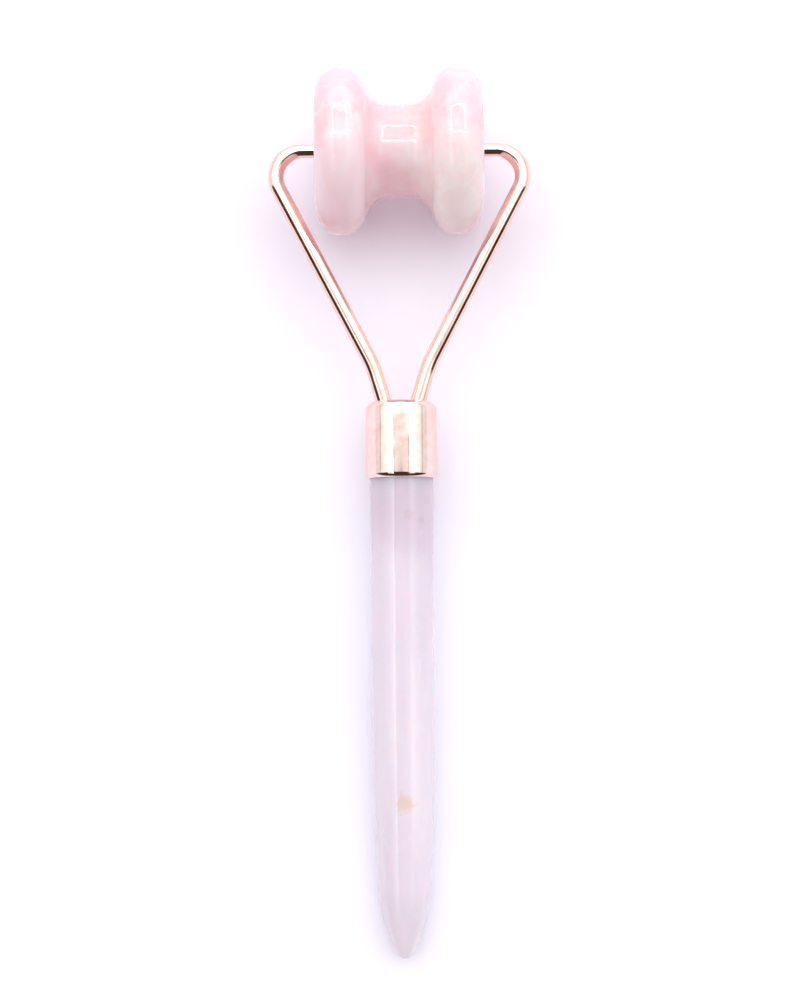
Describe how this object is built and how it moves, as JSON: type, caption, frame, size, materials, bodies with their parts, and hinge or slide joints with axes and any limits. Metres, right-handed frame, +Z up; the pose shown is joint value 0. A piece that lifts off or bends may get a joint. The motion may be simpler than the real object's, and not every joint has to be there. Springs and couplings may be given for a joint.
{
  "type": "face roller",
  "caption": "Facial massage roller: a rose quartz spool that turns on a rose gold wire fork, with a ferrule and a round stone handle.",
  "frame": {"origin": "middle of the box that the lying roller fills, on the surface it lies on", "axes": "+Z up, +Y from the handle's tip towards the spool, +X along the spool's axle"},
  "size_m": [0.0522, 0.1758, 0.0335],
  "materials": {
    "rose_quartz": "polished, cloudy rose quartz",
    "rose_gold": "polished rose gold plating on brass",
    "raw_brass": "turned, unplated",
    "nylon": "moulded natural nylon",
    "epoxy": "clear cured adhesive"
  },
  "bodies": {
    "grip": {"left_arm": "rose_gold", "right_arm": "rose_gold", "ferrule": "rose_gold", "arm_anchor_plug": "raw_brass", "handle_stone": "rose_quartz", "handle_epoxy": "epoxy"},
    "roller": {"roller_stone": "rose_quartz", "left_bush": "nylon", "right_bush": "nylon"}
  },
  "joints": [
    {"name": "roller_spin", "type": "hinge", "parent": "grip", "child": "roller", "pos_m": [0, 0.07113, 0.01675], "axis": [1, 0, 0], "continuous": true}
  ]
}
